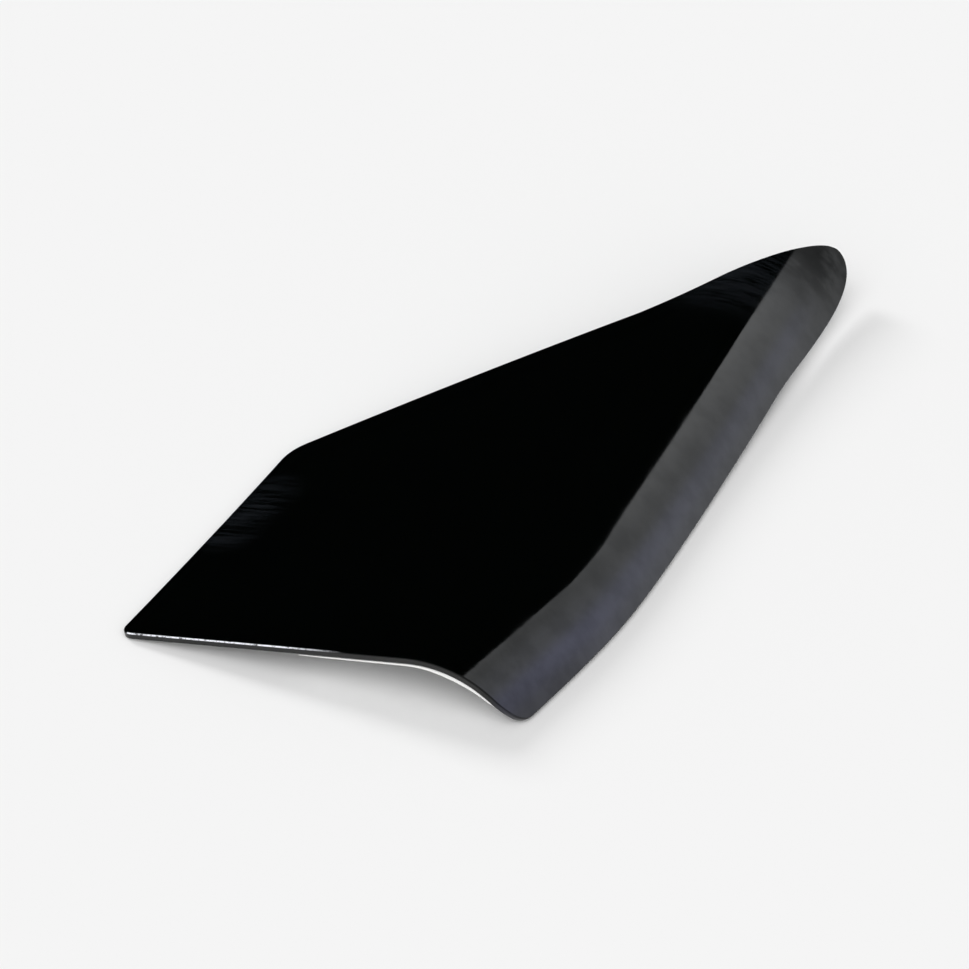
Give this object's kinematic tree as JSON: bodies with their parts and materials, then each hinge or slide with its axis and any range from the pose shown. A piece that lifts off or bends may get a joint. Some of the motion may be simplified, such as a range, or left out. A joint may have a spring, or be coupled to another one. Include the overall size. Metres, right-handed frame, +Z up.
{
  "type": "leaf grabber hand",
  "caption": "Glossy black curved scooping blade with a curled side rim and rounded tip, held on the hand by two webbing straps with cam buckles on its underside.",
  "frame": {"origin": "centre of the object's box on the surface it rests on", "axes": "+Y from the straight mouth edge to the tip, +Z up, +X towards the curled side rim"},
  "size_m": [0.2058, 0.434, 0.0358],
  "materials": {
    "blade": "high gloss moulded black",
    "edge_strip": "satin pale strip",
    "foam": "closed-cell foam",
    "webbing": "woven black webbing",
    "hardware": "zinc-plated sheet steel",
    "lever": "fine-textured black",
    "bright_steel": "bright turned steel"
  },
  "bodies": {
    "blade_body": {"blade": "blade", "edge_strip": "edge_strip", "palm_pad": "foam", "forearm_pad": "foam", "hand_clamp": "hardware", "forearm_clamp": "hardware", "hand_strap": "webbing", "forearm_strap": "webbing", "hand_strap_end": "webbing", "forearm_strap_end": "webbing", "hand_buckle": "hardware", "forearm_buckle": "hardware", "hand_lever_pin": "bright_steel", "forearm_lever_pin": "bright_steel", "hand_screws": "bright_steel", "forearm_screws": "bright_steel"},
    "hand_lever_body": {"hand_lever": "lever", "hand_lever_spring": "bright_steel"},
    "forearm_lever_body": {"forearm_lever": "lever", "forearm_lever_spring": "bright_steel"}
  },
  "joints": [
    {"name": "hand_lever_hinge", "type": "hinge", "parent": "blade_body", "child": "hand_lever_body", "pos_m": [0.03946, -0.131, 0.01252], "axis": [0, 1, 0], "range_deg": [0, 50], "stiffness_Nm_per_rad": 0.02, "springref_deg": -20.05},
    {"name": "forearm_lever_hinge", "type": "hinge", "parent": "blade_body", "child": "forearm_lever_body", "pos_m": [0.0446, 0.00527, 0.01428], "axis": [-0.0039, 0.9997, 0.0243], "range_deg": [0, 50], "stiffness_Nm_per_rad": 0.02, "springref_deg": -20.05}
  ]
}
